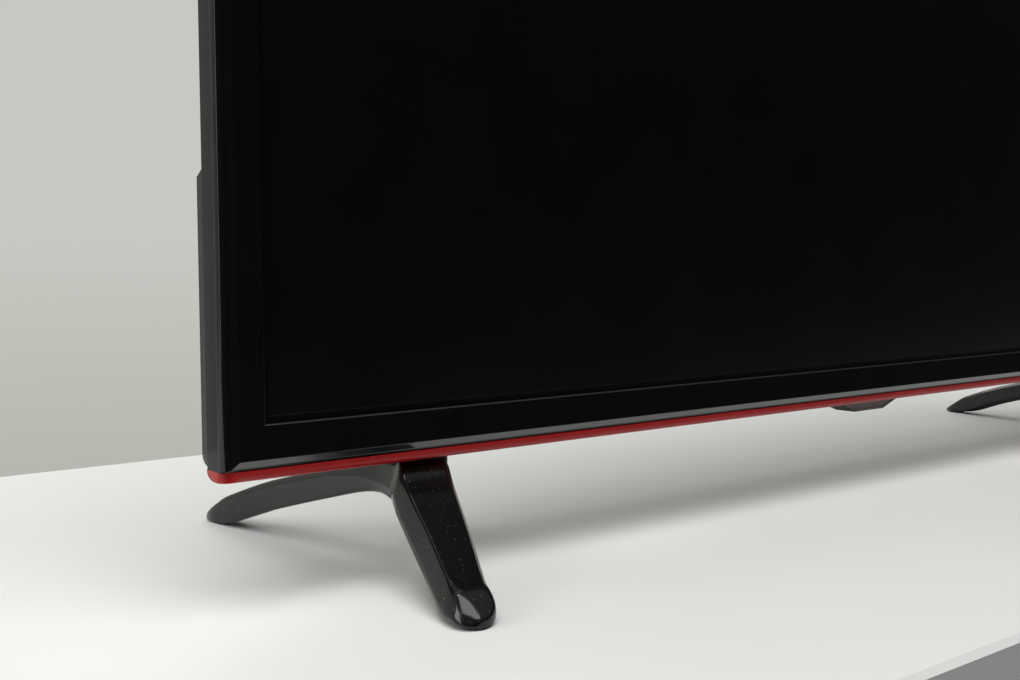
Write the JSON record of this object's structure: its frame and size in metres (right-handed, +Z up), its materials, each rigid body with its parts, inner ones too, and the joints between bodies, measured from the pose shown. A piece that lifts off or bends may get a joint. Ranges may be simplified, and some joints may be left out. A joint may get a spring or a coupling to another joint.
{
  "type": "flat screen tv",
  "caption": "Slim flat screen television with a gloss black frame, a red bar under the picture, splayed arched feet, rear keys, sockets and wall mount.",
  "frame": {"origin": "on the table, under the middle of the set, midway between the feet's tips", "axes": "+X to the viewer's right along the picture, +Y from the screen to the back, +Z up"},
  "size_m": [0.727, 0.208, 0.4694],
  "materials": {
    "bezel_gloss": "piano gloss front, satin grained sides",
    "trim_red": "deep red gloss",
    "gasket_foam": "soft black foam",
    "screen_glass": "dark, switched off, slightly reflecting",
    "white_plastic": "white moulded",
    "optical_sheet": "milky film",
    "reflector_white": "bright white film",
    "lamp_bar_white": "white coated",
    "lens_clear": "clear moulded lens",
    "pan_steel": "galvanised sheet",
    "board_green": "green solder mask",
    "film_amber": "amber film",
    "ribbon_white": "white flat cable",
    "heatsink_aluminium": "anodised",
    "can_steel": "tinned",
    "socket_steel": "plated",
    "jack_black": "black moulded",
    "antenna_brass": "plated",
    "power_board_tan": "tan laminate",
    "transformer_core": "taped ferrite",
    "capacitor_sleeve": "shrunk sleeve",
    "wire_bundle": "flat bundle of wires",
    "screw_steel": "zinc plated",
    "speaker_plastic": "black moulded",
    "driver_black": "black",
    "grommet_rubber": "soft black",
    "switch_black": "black moulded",
    "key_black": "satin black",
    "sensor_smoke": "dark smoked gloss",
    "cover_black": "fine grained black",
    "post_brass": "turned",
    "cover_screw_black": "black oxide",
    "bracket_steel": "galvanised sheet",
    "foot_gloss": "piano gloss",
    "pad_rubber": "soft black"
  },
  "bodies": {
    "set": {"front_bezel": "bezel_gloss", "bottom_trim": "trim_red", "panel_gasket": "gasket_foam", "lcd_panel": "screen_glass", "mid_frame": "white_plastic", "diffuser_posts": "white_plastic", "prism_sheet": "optical_sheet", "diffuser_sheet": "optical_sheet", "diffuser_plate": "optical_sheet", "reflector_sheet": "reflector_white", "led_bar_top": "lamp_bar_white", "led_bar_middle": "lamp_bar_white", "led_bar_bottom": "lamp_bar_white", "led_lenses": "lens_clear", "back_pan": "pan_steel", "source_board": "board_green", "main_board": "board_green", "key_board": "board_green", "ir_board": "board_green", "source_films": "film_amber", "panel_ribbon": "ribbon_white", "soc_heatsink": "heatsink_aluminium", "power_heatsinks": "heatsink_aluminium", "tuner_can": "can_steel", "hdmi_sockets": "socket_steel", "usb_socket": "socket_steel", "headphone_jack": "jack_black", "av_jacks": "jack_black", "optical_socket": "jack_black", "mains_inlet": "jack_black", "antenna_socket": "antenna_brass", "power_board": "power_board_tan", "power_transformer": "transformer_core", "bulk_capacitor": "capacitor_sleeve", "power_harness": "wire_bundle", "board_screws": "screw_steel", "speaker_box_left": "speaker_plastic", "speaker_box_right": "speaker_plastic", "speaker_driver_left": "driver_black", "speaker_driver_right": "driver_black", "speaker_grommets": "grommet_rubber", "key_switches": "switch_black", "ir_window": "sensor_smoke", "rear_cover": "cover_black", "wall_mount_posts": "post_brass", "cover_screws": "cover_screw_black", "foot_screws": "cover_screw_black", "stand_bracket_left": "bracket_steel", "stand_bracket_right": "bracket_steel", "foot_left": "foot_gloss", "foot_right": "foot_gloss", "foot_pads": "pad_rubber"},
    "power_key": {"power_key": "key_black"},
    "source_key": {"source_key": "key_black"},
    "menu_key": {"menu_key": "key_black"},
    "channel_up_key": {"channel_up_key": "key_black"},
    "channel_down_key": {"channel_down_key": "key_black"},
    "volume_up_key": {"volume_up_key": "key_black"},
    "volume_down_key": {"volume_down_key": "key_black"}
  },
  "joints": [
    {"name": "power_key_press", "type": "slide", "parent": "set", "child": "power_key", "axis": [0, -1, 0], "range_m": [0, 0.0008], "stiffness_N_per_m": 500},
    {"name": "source_key_press", "type": "slide", "parent": "set", "child": "source_key", "axis": [0, -1, 0], "range_m": [0, 0.0008], "stiffness_N_per_m": 500},
    {"name": "menu_key_press", "type": "slide", "parent": "set", "child": "menu_key", "axis": [0, -1, 0], "range_m": [0, 0.0008], "stiffness_N_per_m": 500},
    {"name": "channel_up_key_press", "type": "slide", "parent": "set", "child": "channel_up_key", "axis": [0, -1, 0], "range_m": [0, 0.0008], "stiffness_N_per_m": 500},
    {"name": "channel_down_key_press", "type": "slide", "parent": "set", "child": "channel_down_key", "axis": [0, -1, 0], "range_m": [0, 0.0008], "stiffness_N_per_m": 500},
    {"name": "volume_up_key_press", "type": "slide", "parent": "set", "child": "volume_up_key", "axis": [0, -1, 0], "range_m": [0, 0.0008], "stiffness_N_per_m": 500},
    {"name": "volume_down_key_press", "type": "slide", "parent": "set", "child": "volume_down_key", "axis": [0, -1, 0], "range_m": [0, 0.0008], "stiffness_N_per_m": 500}
  ]
}
